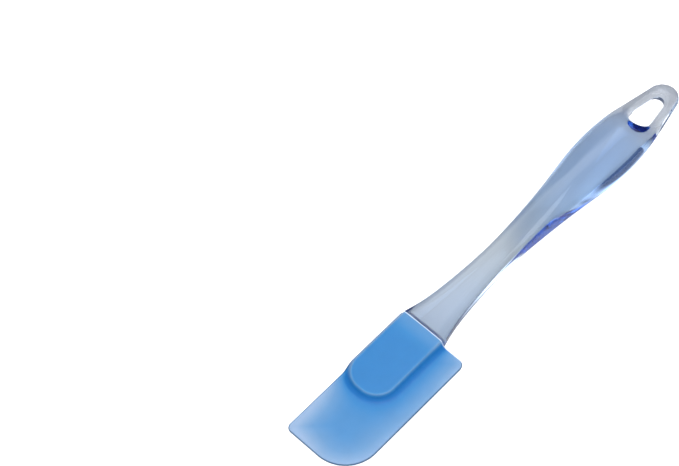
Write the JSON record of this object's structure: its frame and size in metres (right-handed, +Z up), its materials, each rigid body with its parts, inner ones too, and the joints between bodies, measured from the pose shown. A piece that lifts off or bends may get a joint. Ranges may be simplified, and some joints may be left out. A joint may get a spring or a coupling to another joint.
{
  "type": "silicone spatula",
  "caption": "Small silicone spatula: thin translucent blue blade set off to one side, raised tang pocket, and a clear bulged handle with a hanging loop.",
  "frame": {"origin": "on the table, under the middle of the whole object's box, with the spatula lying at rest", "axes": "+X along the spatula towards the hanging loop, +Y to the side of the blade's straight edge that lines up with the pocket, +Z up"},
  "size_m": [0.2502, 0.0384, 0.0187],
  "materials": {
    "clear_plastic": "clear, light blue tint, polished",
    "silicone": "translucent azure silicone, satin"
  },
  "bodies": {
    "handle": {"handle": "clear_plastic"},
    "head": {"head": "silicone"}
  },
  "joints": [
    {"name": "head_pull_off", "type": "slide", "parent": "handle", "child": "head", "axis": [-0.9994, 0, -0.0356], "range_m": [0, 0.045]}
  ]
}
